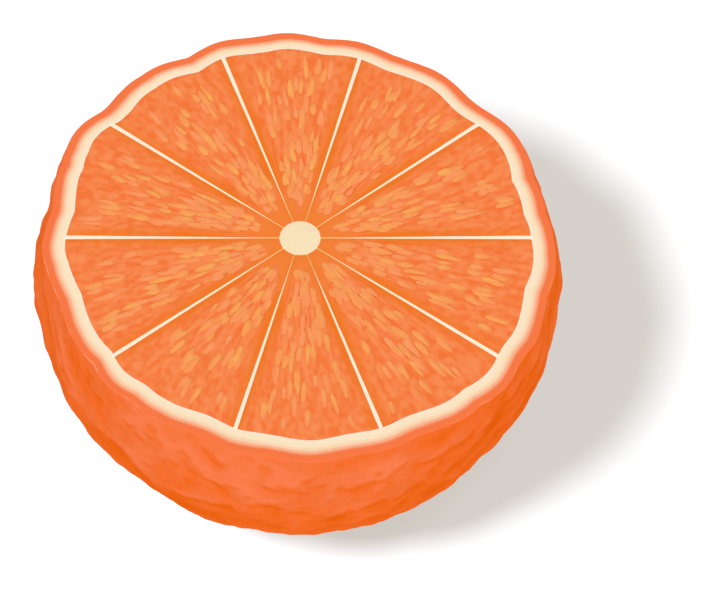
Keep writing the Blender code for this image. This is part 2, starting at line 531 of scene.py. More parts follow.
@dataclass(frozen=True)
class RindFinish:
    """Peel outside, pith inside, and a soft change from one to the other on the cut."""

    # The skin's colour, from its deepest painted shade to its palest painted light.
    skin: Sequence[Stop] = (
        (0.0, screen(232, 96, 12)),
        (0.25, screen(238, 102, 26)),
        (0.5, screen(242, 108, 42)),
        (0.75, screen(242, 114, 57)),
        (1.0, screen(246, 123, 74)),
    )
    cut: Sequence[Stop] = (
        (0.0, screen(250, 234, 208)),
        (0.36, screen(252, 229, 194)),
        (0.52, screen(252, 212, 174)),
        (0.63, screen(250, 176, 138)),
        (0.80, screen(248, 121, 70)),
    )
    cut_wander: float = 0.12
    wander_scale: float = 260
    patch_scale: float = 90
    pit_scale: float = 900
    fibre_scale: float = 900
    fibres_shown: float = 0.08
    oil_pit: Color = (0.93, 0.88, 0.8)
    scar: Color = screen(170, 120, 60)
    # Painted highlight along the cut's outer edge.
    painted_edge_glint: Color = screen(255, 206, 170)
    fibre: Color = screen(244, 214, 172)

    def across_cut(self, sheet: Sheet) -> Socket:
        """The colour of the cut rind, from the flesh outwards.

        Args:
            sheet: The material that shows it.

        Returns:
            The colour.
        """
        sway = sheet.noise(sheet.place(), self.wander_scale), self.cut_wander, -self.cut_wander / 2
        place = sheet.math("ADD", sheet.stored("rind"), sheet.math("MULTIPLY_ADD", *sway))
        return sheet.ramp(place, self.cut)

    def peel(self) -> Material:
        """The peel, whose skin has lumps, creases and oil pits, with painted light and shade on its
        lumps and sides and a painted highlight along the cut's outer edge.

        Returns:
            The material.
        """
        sheet = Sheet("orange_peel")
        patches = sheet.noise(sheet.place((1, 1, 1.6)), self.patch_scale, 4)
        pits = sheet.cells(sheet.place(), self.pit_scale)
        # The skin's painted light and shade.
        skin = sheet.ramp(sheet.stored("shade"), self.skin, "LINEAR")
        dots = sheet.ramp(pits, ((0.05, self.oil_pit), (0.4, WHITE)))
        skin = sheet.mix(0.5, skin, sheet.mix(1.0, skin, dots, "MULTIPLY"))
        skin = sheet.mix(sheet.stored("scar"), skin, self.scar)
        skin = sheet.mix(sheet.stored("cut"), skin, self.across_cut(sheet))
        # Painted highlight along the cut's outer edge.
        skin = sheet.mix(sheet.stored("painted_edge_glint"), skin, self.painted_edge_glint)
        relief = ((pits, 0.0001), (patches, 0.00015))
        return sheet.finish(skin, patches, (0.42, 0.58), relief, 0.0)

    def pith(self) -> Material:
        """The spongy pith.

        Returns:
            The material.
        """
        sheet = Sheet("orange_pith")
        fibres = sheet.noise(sheet.place(), self.fibre_scale, 3)
        shown = sheet.math("MULTIPLY", fibres, self.fibres_shown)
        color = sheet.mix(shown, self.across_cut(sheet), self.fibre)
        return sheet.finish(color, fibres, (0.6, 0.8), [(fibres, 0.00008)], 0.08)


@dataclass(frozen=True)
class PaleFinish:
    """The cream of the core and the membranes."""

    name: str
    cream: Color
    shadow: Color
    inner: Color | None = None
    fibre_scale: float = 1100
    fibres_shown: float = 0.3

    def build(self) -> Material:
        """The cream skin with faint fibres, more golden near the core where it has such a colour.

        Returns:
            The material.
        """
        sheet = Sheet(self.name)
        fibres = sheet.noise(sheet.place(), self.fibre_scale, 3)
        shown = sheet.math("MULTIPLY", fibres, self.fibres_shown)
        skin = sheet.mix(shown, self.cream, self.shadow)
        if self.inner:
            skin = sheet.mix(sheet.stored("near"), skin, self.inner)
        return sheet.finish(skin, fibres, (0.5, 0.7), [(fibres, 0.00005)], 0.1)


@dataclass(frozen=True)
class FleshFinish:
    """Cut flesh: small soft bumps, and deeper orange beside the membranes."""

    low: Color = screen(246, 118, 54)
    high: Color = screen(250, 141, 82)
    edge: Color = screen(241, 118, 16)
    heart: Color = screen(247, 132, 57)
    mottled: float = 0.7
    grain: Range = (26, 560)

    def build(self) -> Material:
        """The flesh of a segment.

        Returns:
            The material.
        """
        sheet = Sheet("orange_flesh")
        grain = sheet.noise(sheet.rings(*self.grain), 1, 3)
        blobs = sheet.math("MULTIPLY", sheet.stored("mottle"), self.mottled)
        streaks = sheet.math("MULTIPLY", grain, 1 - self.mottled)
        stops = ((0.28, self.low), (0.72, self.high))
        flesh = sheet.ramp(sheet.math("ADD", blobs, streaks), stops)
        flesh = sheet.mix(sheet.stored("heart"), flesh, self.heart)
        flesh = sheet.mix(sheet.stored("side"), flesh, self.edge)
        return sheet.finish(flesh, grain, (0.3, 0.5), [(grain, 0.0001)], 0.1)


class Tone(Enum):
    """The shades of cut juice cells, each with its pale middle and the colour of the painted shade
    along one side of its edge.
    """

    # Each shade's pale middle, then the colour of the painted shade along one side of its edge.
    LIGHT = (screen(249, 164, 90), screen(190, 106, 30))
    GOLDEN = (screen(250, 173, 88), screen(180, 106, 24))
    ROSY = (screen(251, 157, 98), screen(200, 106, 40))
    DEEP = (screen(248, 142, 78), screen(226, 114, 44))
    FIERY = (screen(244, 122, 52), screen(226, 108, 38))

    @property
    def material(self) -> Material:
        """The cell's moist skin, with a broken dark line of painted shade on one side of it, much
        the same side for every cell.

        Returns:
            The material.
        """
        middle, line = self.value
        sheet = Sheet("juice_cell_" + self.name.lower())
        streaks = sheet.noise(sheet.rings(60, 500), 1, 2)
        specks = sheet.noise(sheet.place(), 4200, 1)
        paler = (
            sheet.math("MULTIPLY", sheet.stored("tint"), 0.35),
            sheet.ramp(streaks, ((0.38, (0.0, 0.0, 0.0)), (0.66, (0.62, 0.62, 0.62)))),
            sheet.math("MULTIPLY", sheet.stored("fade"), 0.4),
        )
        color = middle
        for share in paler:
            color = sheet.mix(share, color, FleshFinish.high)
        dots = sheet.ramp(specks, ((0.42, (0.25, 0.25, 0.25)), (0.56, WHITE)))
        # Painted shade: a dark line, broken by specks, along one side of each cell's edge.
        color = sheet.mix(sheet.math("MULTIPLY", sheet.stored("line"), dots), color, line)
        return sheet.finish(color, streaks, (0.28, 0.42), [(streaks, 0.00004)], 0.12)


def dress(
    piece: Piece, material: Material, slot: str, *nodes: str, angle: float = 50
) -> Piece:
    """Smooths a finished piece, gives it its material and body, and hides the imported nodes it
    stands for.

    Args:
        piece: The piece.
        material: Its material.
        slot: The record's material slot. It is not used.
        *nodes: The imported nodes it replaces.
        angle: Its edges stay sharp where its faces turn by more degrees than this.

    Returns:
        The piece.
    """
    pick(piece)
    bpy.ops.object.shade_smooth_by_angle(angle=radians(angle))
    piece.data.materials.clear()
    piece.data.materials.append(material)
    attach(piece, BODY)
    if nodes:
        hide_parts(*nodes)
    return piece


@dataclass(frozen=True)
class Lumps:
    """One size of lump on the skin, whose rows slant downwards on both sides of the fruit."""

    height: float
    around: float
    down: float
    seed: tuple[int, int]
    warped: float = 0.0
    slant: float = 0.018

    def rise(self, heading: float, path: float, warp: float = 0.0) -> float:
        """How far the lumps rise at a distance down the skin, before they are scaled."""
        down = (path + self.slant * (1 + sin(heading))) / self.down + self.warped * warp
        return self.height * noise.noise(toward(heading, self.around) + Vector((*self.seed, down)))


@dataclass
class Rind:
    """The coloured peel and the white pith under it."""

    fruit: Fruit
    steps: int = 500
    pith_steps: int = 400
    edge_radius: float = 0.00022
    edge_ring: Range = (0.00001, 0.00006)
    skin_steps: Steps = (22, 130)
    measured_steps: Steps = (40, 300)
    under_peel_steps: Steps = (3, 12)
    under_pith_steps: Steps = (3, 20)
    zest_reach: float = 0.085
    zest_reach_behind: float = 0.025
    lump: float = 0.00034
    warp: Lumps = Lumps(1.0, 5, 0.006, (5, 1))
    lumps: Sequence[Lumps] = (
        Lumps(1.3, 7.5, 0.0042, (2, 0), warped=0.7),
        Lumps(0.6, 16, 0.0017, (3, 7), warped=0.8),
        Lumps(0.4, 2.6, 0.009, (9, 4)),
        Lumps(0.26, 34, 0.0011, (6, 2), slant=0.0),
    )
    knobs: float = 230
    sunk: float = 0.2
    calm_rim: Fade = Fade(0.0005, 0.005, 0.1)
    calm_foot: Fade = Fade(0.0, 0.0012)
    # Painted light and shade on the skin: painted light on the tops of its lumps, painted shade in
    # the creases below them, on both sides and lower down.
    flank: float = 0.0006
    painted_lump_light: float = 0.8
    creases: Fade = Fade(0.12, 0.52, 0.17, -0.68)
    contrast: Fade = Fade(0.012, 0.022, 0.48, 0.3)
    contrast_at_rim: Fade = Fade(0.0008, 0.003, 0.5)
    # Painted shade that deepens lower down the skin and on both sides of the fruit.
    painted_shade_with_depth: Fade = Fade(0.006, 0.019)
    shades: Range = (0.8, 0.24)
    painted_shade_sides: Sequence[Wave] = ((180, 0.75, 12), (208, 0.33, 18), (322, 1.0, 25), (355, 0.25, 20))
    # Where the painted highlight along the cut's outer edge shows, and how it breaks up.
    painted_glint_sides: Sequence[Wave] = ((190, 0.3, 12), (218, 0.5, 18), (316, 0.25, 14), (345, 0.2, 12))
    painted_glint_breaks: Fade = Fade(-0.05, 0.3)
    painted_glint_grain: float = 24
    scar: Fade = Fade(0.0016, 0.0026, 0.6, 0.0)
    fibres: float = 0.00006
    fibre_grain: float = 900
    finish: RindFinish = RindFinish()

    def share_across(self, radius: float, heading: float) -> float:
        """How far across the cut rind a point lies. The zest reaches deeper at the back.

        Args:
            radius: The point's radius.
            heading: Its heading.

        Returns:
            About 0 beside the flesh and 1 at the outer edge.
        """
        inner, outer = self.fruit.flesh.rim, self.fruit.rim_radius
        deeper = self.zest_reach + self.zest_reach_behind * max(sin(heading), 0.0)
        return (radius - inner) / (outer - inner) + deeper

    def peel_profile(self) -> Profile:
        """The peel's section, from the pole of the skin up to the cut and down inside to the pole.

        Returns:
            The points.
        """
        fruit, edge = self.fruit, self.edge_radius
        below = fruit.height - edge
        side = [point for point in fruit.outline(fruit.skin, *self.skin_steps) if point[1] < below]
        foot = [(side[-1][0] * share, 0.0) for share in (0.0, 0.1, 0.3, 0.6, 0.85)]
        arc = [(cos(radians(angle)), sin(radians(angle))) for angle in (0, 30, 60, 90)]
        turn = [(fruit.rim_radius - edge * (1 - x), below + edge * y) for x, y in arc]
        inside = fruit.outline(fruit.peel_inner, *self.under_peel_steps, last=0.0)
        inner, outer = inside[0][0], turn[-1][0]
        band = [(between(outer, inner, share), fruit.height) for share in (0.25, 0.5, 0.75)]
        return [*foot, *reversed(side), *turn, *band, *inside]

    def measure_skin(self) -> list[Triple]:
        """Measures the even skin from the rim down to the resting spot.

        Returns:
            The depth, the radius and the distance down the skin of many points in order.
        """
        points = self.fruit.outline(self.fruit.skin, *self.measured_steps)
        path, rows = 0.0, []
        for (radius, z), (last_radius, last_z) in zip(points, points[:1] + points):
            path += hypot(radius - last_radius, z - last_z)
            rows.append((self.fruit.height - z, radius, path))
        return rows

    def relief(self, heading: float, path: float) -> float:
        """How far the lumps raise the skin at a distance down from the rim, before scaling."""
        warp = self.warp.rise(heading, path)
        return sum(lumps.rise(heading, path, warp) for lumps in self.lumps)

    def shade(self, heading: float, path: float, depth: float) -> float:
        """Painted light and shade on the skin: painted light on its lumps, painted shade in the
        creases, on its sides and lower down.

        Args:
            heading: The heading.
            path: The distance down the skin from the rim.
            depth: The depth below the cut face.

        Returns:
            0 for the deepest painted shade to 1 for the palest painted light.
        """
        # Painted shade where the skin falls away below a lump, and painted light on the lumps'
        # tops.
        fall = self.relief(heading, path - self.flank) - self.relief(heading, path + self.flank)
        lumps = self.painted_lump_light * self.relief(heading, path) + self.creases.at(fall)
        lumps *= self.contrast.at(depth) * self.contrast_at_rim.at(path)
        # Painted shade on both sides of the fruit, deepening lower down.
        side = min(waves(self.painted_shade_sides, heading), 1.0)
        painted_shade = between(side, 1.0, self.painted_shade_with_depth.at(depth))
        return clamp(between(*self.shades, painted_shade) + lumps)

    def painted_edge_glint(self, heading: float) -> float:
        """How much of the painted highlight, a pale broken line along the cut's outer edge, shows.
        """
        broken = noise.noise(toward(heading, self.painted_glint_grain))
        return waves(self.painted_glint_sides, heading) * self.painted_glint_breaks.at(broken)

    def build_peel(self) -> Piece:
        """Models the peel and raises its lumps, creases and scar.

        Returns:
            The piece.
        """
        fruit, edge = self.fruit, self.edge_radius
        piece = spun("rind_peel", self.peel_profile(), self.steps)
        stored = {name: [] for name in ("shade", "cut", "rind", "scar", "painted_edge_glint")}
        skin = self.measure_skin()
        raised = []
        for vertex in piece.data.vertices:
            (radius, heading), z = polar(vertex.co), vertex.co.z
            depth = fruit.height - z
            _, skin_radius, path = skin[min(bisect_left(skin, (depth,)), len(skin) - 1)]
            path += max(skin_radius - radius, 0.0)
            outside = radius > skin_radius - edge * 1.5 or z < THIN
            vertex.co = fruit.spot(radius, z, heading, fruit.offset)
            height = 0.0
            if outside and depth > edge / 2:
                height = self.relief(heading, path) + noise.noise(vertex.co * self.knobs)
                height = (height - self.sunk) * self.calm_rim.at(depth)
            raised.append(self.lump * height * self.calm_foot.at(z))
            on_ring = self.edge_ring[0] < depth < self.edge_ring[1]
            # The skin's painted light and shade.
            stored["shade"].append(self.shade(heading, path, depth) if outside else 0.5)
            stored["cut"].append(1.0 if depth < edge * 0.6 else 0.0)
            stored["rind"].append(self.share_across(radius, heading) if depth < edge else 1.0)
            stored["scar"].append(self.scar.at(radius) if z < THIN else 0.0)
            # Painted highlight on the ring where the cut turns into the skin.
            stored["painted_edge_glint"].append(self.painted_edge_glint(heading) if on_ring else 0.0)
        piece.data.update()
        normals = [vertex.normal.copy() for vertex in piece.data.vertices]
        for vertex, normal, height in zip(piece.data.vertices, normals, raised):
            vertex.co += normal * height
        note(piece, **stored)
        return dress(piece, self.finish.peel(), "zest", "peel")

    def build_pith(self) -> Piece:
        """Models the pith.

        Returns:
            The piece.
        """
        fruit = self.fruit
        outside = fruit.outline(fruit.peel_inner, *self.under_pith_steps, last=0.0)
        inside = fruit.outline(fruit.flesh, *self.under_pith_steps, last=0.0)
        inner, outer = inside[0][0], outside[0][0]
        band = [(between(outer, inner, step / 10), fruit.height) for step in range(1, 10)]
        piece = spun("rind_pith", [*reversed(outside), *band, *inside], self.pith_steps)
        across = []
        for vertex in piece.data.vertices:
            (radius, heading), z = polar(vertex.co), vertex.co.z
            on_cut = fruit.height - z < THIN / 10
            if on_cut:
                share = (radius - inner) / (outer - inner)
            else:
                lines = (outside, inside)
                out, back = (min(hypot(radius - x, z - y) for x, y in line) for line in lines)
                share = float(out < back)
            across.append(self.share_across(radius, heading) if on_cut else 0.0)
            point = fruit.spot(radius, z, heading, fruit.offset * share)
            if on_cut:
                point.z += self.fibres * noise.noise(point * self.fibre_grain)
            vertex.co = point
        note(piece, rind=across)
        return dress(piece, self.finish.pith(), "pith", "pith")

    def build(self) -> list[Piece]:
        """Models and dresses both layers."""
        return [self.build_peel(), self.build_pith()]


@dataclass
class Core:
    """The white column in the middle, which tapers towards its foot."""

    fruit: Fruit
    steps: int = 72
    taper: Sequence[Range] = (
        (0.0, 1.0), (0.03, 1.0), (0.25, 0.98), (0.5, 0.93), (0.8, 0.84), (1.0, 0.71),
    )
    edge_drop: float = 0.00008
    proud: float = 0.00009
    dish: float = 0.00012
    grain: float = 0.00005
    grain_scale: float = 1500
    uneven: float = 0.03

    def build(self) -> Piece:
        """Models and dresses the column.

        Returns:
            The piece.
        """
        fruit = self.fruit
        top = [(fruit.core * share, fruit.height) for share in (0.0, 0.2, 0.4, 0.6, 0.8, 0.93)]
        edge = fruit.height - self.edge_drop
        low = fruit.core_foot
        side = [(fruit.core * wide, between(edge, low, down)) for down, wide in self.taper]
        foot = [(side[-1][0] * share, low) for share in (0.5, 0.0)]
        piece = spun("core_column", [*top, *side, *foot], self.steps)
        for vertex in piece.data.vertices:
            radius, heading = polar(vertex.co)
            rise = self.proud + self.grain * noise.noise(vertex.co * self.grain_scale)
            if vertex.co.z > fruit.height - THIN:
                rise -= self.dish * smooth(fruit.core * 0.2, fruit.core, radius)
            wide = 1 + self.uneven * noise.noise(toward(heading, 2, 4))
            vertex.co = (vertex.co.x * wide, vertex.co.y * wide, vertex.co.z + rise)
        finish = PaleFinish("orange_core", screen(250, 229, 189), screen(242, 213, 169))
        return dress(piece, finish.build(), "core", "core")


@dataclass
class Wedge:
    """A body that fills the flesh between two headings, from the core to the pith and its floor.

    Both sides stand off their heading by the gap, and the top rises above the cut's plane.
    """

    fruit: Fruit
    span: Range
    gap: Callable[[float, float], float]
    top: Callable[[float, float, float], float]
    inner: float
    outer_margin: float
    columns: int
    rows: int
    foot_share: float = 0.015

    def build(self, name: str) -> Piece:
        """Extrudes a grid into a block one unit each way and bends it into the wedge.

        Args:
            name: The piece's name.

        Returns:
            The piece.
        """
        fruit, steps = self.fruit, {"x_subdivisions": self.columns, "y_subdivisions": self.rows}
        bpy.ops.mesh.primitive_grid_add(**steps, size=1, location=(0.5, 0.5, 0))
        piece = newest(name)
        with editing(piece):
            bpy.ops.mesh.extrude_region_move(TRANSFORM_OT_translate={"value": (0, 0, -1)})
        bowl = fruit.outline(fruit.flesh, 6, 40, last=self.inner)
        bowl = [point for point in bowl if point[0] >= self.inner]
        shares = [between(1.0, self.foot_share, row / self.rows) for row in range(self.rows + 1)]
        floor = [along(bowl, share) for share in shares]
        for vertex in piece.data.vertices:
            across, out, under = vertex.co.x, vertex.co.y, vertex.co.z < -0.5
            radius, z = between(self.inner, fruit.flesh.rim, out), fruit.height
            if under:
                radius, z = floor[round(out * self.rows)]
            start, end = self.span
            start += self.gap(radius, start) / radius
            end -= self.gap(radius, end) / radius
            heading = between(start, end, across)
            if under:
                vertex.co = fruit.spot(radius, z, heading)
            else:
                far = fruit.reach(fruit.flesh.rim, heading) + self.outer_margin
                reach = between(self.inner, far, out)
                vertex.co = toward(heading, reach, z + self.top(across, reach, heading))
        with editing(piece):
            bpy.ops.mesh.normals_make_consistent(inside=False)
        return piece


@dataclass
class Membranes:
    """The ten thin walls between the segments."""

    fruit: Fruit
    headings: list[float]
    at_core: float = 0.00012
    at_rim: float = 0.00066
    thinned: Fade = Fade(0.006, 0.013, 0.6, 0.97)
    uneven: float = 0.12
    uneven_grain: Range = (500, 9)
    proud: float = 0.00007
    into_core: float = 0.93
    into_pith: float = 0.0004
    columns: int = 4
    rows: int = 90
    golden_radius: float = 0.004
    golden_fading: float = 0.007
    finish: PaleFinish = PaleFinish(
        "orange_membrane", screen(254, 242, 218), screen(246, 224, 186), screen(255, 240, 160)
    )

    @property
    def spans(self) -> list[Range]:
        """The headings of the walls on both sides of each segment, the second always the larger."""
        ends = self.headings[1:] + self.headings[:1]
        return [(a, b if b > a else b + tau) for a, b in zip(self.headings, ends)]

    def half(self, radius: float, heading: float) -> float:
        """Half the thickness of the wall with this heading, a little uneven along its length.

        Args:
            radius: Where to measure it.
            heading: The wall's heading.

        Returns:
            The half thickness.
        """
        share = (radius - self.fruit.core) / (self.fruit.flesh.rim - self.fruit.core)
        even = between(self.at_core, self.at_rim, max(share, 0.0)) / 2 * self.thinned.at(radius)
        outward, around = self.uneven_grain
        grain = noise.noise(Vector((radius * outward, heading * around, 1)))
        return even * (1 + self.uneven * grain)

    def build_one(self, number: int, heading: float, material: Material) -> Piece:
        """Models and dresses one wall.

        Args:
            number: Its number, from 1.
            heading: Its heading.
            material: Its material.

        Returns:
            The piece.
        """
        piece = Wedge(
            self.fruit,
            span=(heading, heading),
            gap=lambda radius, turn: -self.half(radius, turn),
            top=lambda across, radius, turn: self.proud * (1 - (2 * across - 1) ** 2),
            inner=self.fruit.core * self.into_core,
            outer_margin=self.into_pith,
            columns=self.columns,
            rows=self.rows,
        ).build(f"membrane_wall_{number:02d}")
        near = []
        for vertex in piece.data.vertices:
            beyond = polar(vertex.co)[0] - self.golden_radius
            near.append(min(exp(-beyond / self.golden_fading), 1.0))
        note(piece, near=near)
        return dress(piece, material, "membrane", f"membrane_{number:02d}", angle=60)

    def build(self) -> list[Piece]:
        """Models and dresses the walls."""
        material = self.finish.build()
        return [self.build_one(*wall, material) for wall in enumerate(self.headings, start=1)]


@dataclass
class Segments:
    """The ten segments of flesh."""

    fruit: Fruit
    membranes: Membranes
    tuck: float = 0.00003
    proud: float = 0.00004
    into_core: float = 0.96
    into_pith: float = 0.00004
    bump: float = 0.00006
    streak_grain: Triple = (30, 0.004, 5)
    blob_grain: Triple = (44, 0.0012, 9)
    shoulder: float = 0.00012
    shoulder_width: float = 0.00025
    rim_shoulder_width: float = 0.0003
    calm_core: Fade = Fade(0.0065, 0.012)
    calm_side: Fade = Fade(0.0, 0.0012)
    calmest: float = 0.15
    streaks: Fade = Fade(0.012, 0.028, 1.3, 0.65)
    blobs: Fade = Fade(0.012, 0.028, 0.36, 0.9)
    side_width: Fade = Fade(0.008, 0.030, 0.0013, 0.0011)
    side_core: Fade = Fade(0.0065, 0.014, 0.35)
    side_rim: Fade = Fade(0.014, 0.034, 0.95, 0.6175)
    heart: Fade = Fade(0.0055, 0.010, 1.0, 0.0)
    columns: int = 60
    rows: int = 96

    def mottle(self, radius: float, heading: float) -> float:
        """The flesh's small soft bumps, longer outwards than across.

        Args:
            radius: The radius.
            heading: The heading.

        Returns:
            Their height, from about -1 to 1.
        """
        height = 0.0
        for grain, share in ((self.streak_grain, self.streaks), (self.blob_grain, self.blobs)):
            around, length, seed = grain
            bump = noise.noise(Vector((heading * around, radius / length, seed)))
            height += bump * share.at(radius)
        return height

    def clearance(self, radius: float, heading: float, span: Range) -> float:
        """The distance from a point of a segment with this span to the nearer wall's face."""
        nearest = min(heading - span[0], span[1] - heading)
        return max(radius * sin(nearest) - self.membranes.half(radius, span[0]), 0.0)

    def lift(self, radius: float, heading: float, span: Range) -> float:
        """The height of the flesh above the plane of the cut.

        Args:
            radius: The radius.
            heading: The heading.
            span: The headings of the two walls.

        Returns:
            The height.
        """
        side = self.clearance(radius, heading, span)
        rim = max(self.fruit.reach(self.fruit.flesh.rim, heading) - radius, 0.0)
        fall = exp(-side / self.shoulder_width) + exp(-rim / self.rim_shoulder_width)
        calm = self.calm_core.at(radius) * self.calm_side.at(side)
        bumps = self.bump * self.mottle(radius, heading) * between(self.calmest, 1.0, calm)
        return self.proud + bumps - self.shoulder * fall

    def build_one(self, number: int, span: Range, material: Material) -> Piece:
        """Models and dresses one segment.

        Args:
            number: Its number, from 1.
            span: The headings of the two walls.
            material: The flesh.

        Returns:
            The piece.
        """
        piece = Wedge(
            self.fruit,
            span=span,
            gap=lambda radius, turn: self.membranes.half(radius, turn) - self.tuck,
            top=lambda across, radius, turn: self.lift(radius, turn, span),
            inner=self.fruit.core * self.into_core,
            outer_margin=self.into_pith,
            columns=self.columns,
            rows=self.rows,
        ).build(f"flesh_segment_{number:02d}")
        stored = {"mottle": [], "side": [], "heart": []}
        for vertex in piece.data.vertices:
            radius, turn = polar(vertex.co)
            heading = span[0] + (turn - span[0]) % tau
            away = self.clearance(radius, heading, span) / self.side_width.at(radius)
            weight = self.side_core.at(radius) * self.side_rim.at(radius)
            stored["mottle"].append(0.5 + 0.5 * clamp(self.mottle(radius, heading), -1))
            stored["side"].append(exp(-(away**2)) * weight)
            stored["heart"].append(self.heart.at(radius))
        note(piece, **stored)
        return dress(piece, material, "flesh", f"segment_{number:02d}")

    def build(self) -> list[Piece]:
        """Models and dresses every segment."""
        material = FleshFinish().build()
        return [self.build_one(*at, material) for at in enumerate(self.membranes.spans, start=1)]


@dataclass(frozen=True)
class CellSpot:
    """Where one cut juice cell lies and how it is shaped."""

    span: Range
    radius: float
    heading: float
    turn: float
    length: float
    width: float
    height: float
    rise: float
    taper: float
    bend: float
    # Where round the cell its painted shade line lies.
    painted_shade_end: float
    tint: float
    tone: Tone


@dataclass(frozen=True)
class CellBed:
    """How one layer of juice cells is sown on the flesh."""

    cover: Sequence[Range]
    length: Range
    width: Range
    height: Range
    rise: Range
    tones_inside: Sequence[tuple[Tone, float]]
    tones_outside: Sequence[tuple[Tone, float]]
    clumping: float = 0.0
    tones_change: Fade = Fade(0.010, 0.026)

    def cover_at(self, radius: float) -> float:
        """The share of the flesh that the layer covers at a radius."""
        runs = [(a, b) for a, b in zip(self.cover, self.cover[1:]) if a[0] <= radius < b[0]]
        return sum(between(a[1], b[1], (radius - a[0]) / (b[0] - a[0])) for a, b in runs)

    def pick_tone(self, dice: random.Random, radius: float) -> Tone:
        """Picks a cell's shade at a radius by chance."""
        outside = dice.random() < self.tones_change.at(radius)
        return dice.choices(*zip(*(self.tones_outside if outside else self.tones_inside)))[0]


@dataclass
class JuiceCells:
    """The cut juice cells that lie like scales on the flesh, pointing at the core."""

    fruit: Fruit
    segments: Segments
    seed: int = 7
    band: float = 0.0005
    candidates: int = 5
    neighbours: int = 30
    stretch: float = 3.2
    scatter: float = 0.0012
    margin: Fade = Fade(0.009, 0.022, 0.0006, 0.0020)
    growth: Fade = Fade(0.006, 0.014, 0.7)
    filled: float = 0.85
    rim_margin: float = 0.0007
    clump_gap: float = 0.48
    # The heading of the side where each cell gets its painted shade line, much the same for every
    # cell.
    painted_shade_way: float = 0.9
    clump_shift: Range = (-0.3, 0.6)
    turn_spread: float = 5
    most_turned: float = 10
    taper: Range = (0.0, 0.45)
    bend: Range = (-0.15, 0.15)
    # How far the painted shade line's side strays from cell to cell, and how near the cell's edge
    # the line lies.
    painted_shade_spread: float = 0.5
    line: Fade = Fade(0.9, 1.0)
    fade: Fade = Fade(-0.2, 1.0)
    ragged: float = 0.14
    ragged_grains: Sequence[Triple] = ((1.0, 2.5, 90), (0.8, 5.5, 50))
    plumpness: float = 0.55
    under: CellBed = CellBed(
        cover=(
            (0.0055, 0.3), (0.008, 0.5), (0.014, 0.36), (0.020, 0.16), (0.027, 0.06), (0.032, 0.0),
        ),
        length=(0.0020, 0.0042),
        width=(0.0008, 0.0012),
        height=(0.00003, 0.00005),
        rise=(0.0, 0.00001),
        tones_inside=((Tone.DEEP, 3), (Tone.FIERY, 2)),
        tones_outside=((Tone.DEEP, 4), (Tone.FIERY, 1)),
    )
    upper: CellBed = CellBed(
        cover=(
            (0.0057, 0.0), (0.0068, 0.85), (0.009, 1.15), (0.012, 0.92), (0.015, 0.74),
            (0.018, 0.5), (0.022, 0.42), (0.028, 0.38), (0.031, 0.32), (0.033, 0.0),
        ),
        length=(0.0020, 0.0044),
        width=(0.00065, 0.0011),
        height=(0.00006, 0.00010),
        rise=(0.00001, 0.00005),
        tones_inside=((Tone.LIGHT, 6), (Tone.GOLDEN, 2), (Tone.ROSY, 3)),
        tones_outside=((Tone.LIGHT, 4), (Tone.GOLDEN, 2), (Tone.ROSY, 2)),
        clumping=0.4,
    )

    def model_cell(self) -> Piece:
        """Models one flat-bottomed cell, two units long and wide.

        Returns:
            The cell.
        """
        bpy.ops.mesh.primitive_uv_sphere_add(segments=14, ring_count=5, location=(0, 0, 0))
        cell = newest("juice_cell")
        cut = {"plane_co": (0, 0, -0.3), "plane_no": (0, 0, 1)}
        with editing(cell):
            bpy.ops.mesh.bisect(**cut, clear_inner=True, use_fill=True)
        return cell

    def sow(self, span: Range, bed: CellBed, dice: random.Random) -> list[CellSpot]:
        """Sows one layer of cells on one segment, from the core outwards.

        Args:
            span: The headings of the walls on both sides of the segment.
            bed: The layer.
            dice: The source of chance.

        Returns:
            The cells.
        """
        start, end = span
        spots: list[CellSpot] = []
        wanted = dice.random()
        radius = bed.cover[0][0]
        while radius < bed.cover[-1][0]:
            margin, growth = self.margin.at(radius), self.growth.at(radius)
            room = max((end - start) * radius - 2 * margin, 0.0)
            mean_area = self.filled * growth * sum(bed.length) / 2 * sum(bed.width) / 2
            wanted += bed.cover_at(radius) * room * self.band / mean_area
            while wanted >= 1:
                wanted -= 1
                length = dice.uniform(*bed.length) * growth
                width = dice.uniform(*bed.width)
                edge = (margin + width / 2) / (radius - 0.4 * length)
                if (end - start) < 2 * edge:
                    continue
                open_span = (start + edge, end - edge)
                places = [
                    (radius + dice.uniform(0, self.scatter), dice.uniform(*open_span))
                    for _ in range(self.candidates)
                ]
                latest = spots[-self.neighbours :]
                out, heading = max(places, key=lambda place: self.room(place, radius, latest))
                if spots and bed.clumping and dice.random() < bed.clumping:
                    gap = dice.choice((-self.clump_gap, self.clump_gap))
                    beside = gap * (width + spots[-1].width) / radius
                    out = spots[-1].radius + dice.uniform(*self.clump_shift) * length
                    heading = clamp(spots[-1].heading + beside, *open_span)
                rim = self.fruit.reach(self.fruit.flesh.rim, heading) - self.rim_margin
                spots.append(
                    CellSpot(
                        span=span,
                        radius=min(out, rim - length / 2),
                        heading=heading,
                        turn=radians(self.turned(dice)),
                        length=length,
                        width=width,
                        height=dice.uniform(*bed.height),
                        rise=dice.uniform(*bed.rise),
                        taper=dice.uniform(*self.taper),
                        bend=dice.uniform(*self.bend),
                        painted_shade_end=self.painted_shade_way - heading + dice.gauss(0, self.painted_shade_spread),
                        tint=dice.random(),
                        tone=bed.pick_tone(dice, radius),
                    )
                )
            radius += self.band
        return spots

    def turned(self, dice: random.Random) -> float:
        """By how many degrees a cell points past the core, by chance."""
        return clamp(dice.gauss(0, self.turn_spread), -self.most_turned, self.most_turned)

    def room(self, place: Range, radius: float, spots: Sequence[CellSpot]) -> float:
        """How far a place, a radius and a heading, lies from the nearest of the latest cells."""
        apart = ((place[0] - spot.radius, place[1] - spot.heading) for spot in spots)
        return min((hypot(out / self.stretch, turn * radius) for out, turn in apart), default=1.0)

